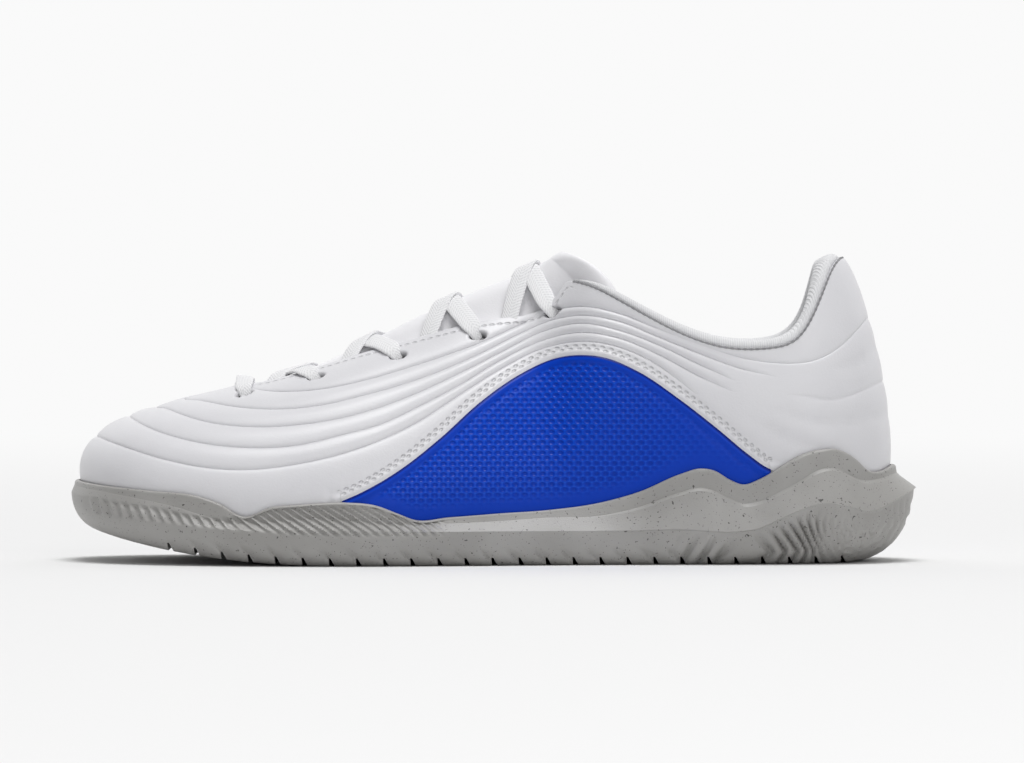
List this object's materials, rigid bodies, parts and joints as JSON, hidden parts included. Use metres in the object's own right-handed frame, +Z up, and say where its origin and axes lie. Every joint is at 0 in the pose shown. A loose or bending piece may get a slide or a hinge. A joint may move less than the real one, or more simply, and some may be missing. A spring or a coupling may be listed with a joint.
{
  "type": "indoor soccer shoe",
  "caption": "Low lace-up indoor soccer shoe for the left foot: hollow white leather upper with blue side panels, padded collar and tongue, on a flat grey rubber cup sole.",
  "frame": {"origin": "centre of the bounding box in plan, at the floor under the sole", "axes": "+X from toe to heel, +Y towards the inner (medial) side of the foot, +Z up; the outer (lateral) side is at -Y"},
  "size_m": [0.2962, 0.1042, 0.1083],
  "materials": {
    "rubber": "matte, speckled grey",
    "white_leather": "smooth coated leather, satin",
    "blue_leather": "dimpled coated leather, satin",
    "knit_lining": "soft knit",
    "insole_cloth": "brushed cloth",
    "lace_cloth": "flat woven lace"
  },
  "bodies": {
    "root": {"outsole": "rubber", "upper": "white_leather", "side_panel_lateral": "blue_leather", "side_panel_medial": "blue_leather", "tongue": "white_leather", "collar": "knit_lining", "insole": "insole_cloth", "lace_bar": "lace_cloth", "lace_cross_1": "lace_cloth", "lace_cross_2": "lace_cloth", "lace_cross_3": "lace_cloth", "lace_cross_4": "lace_cloth"}
  },
  "joints": []
}
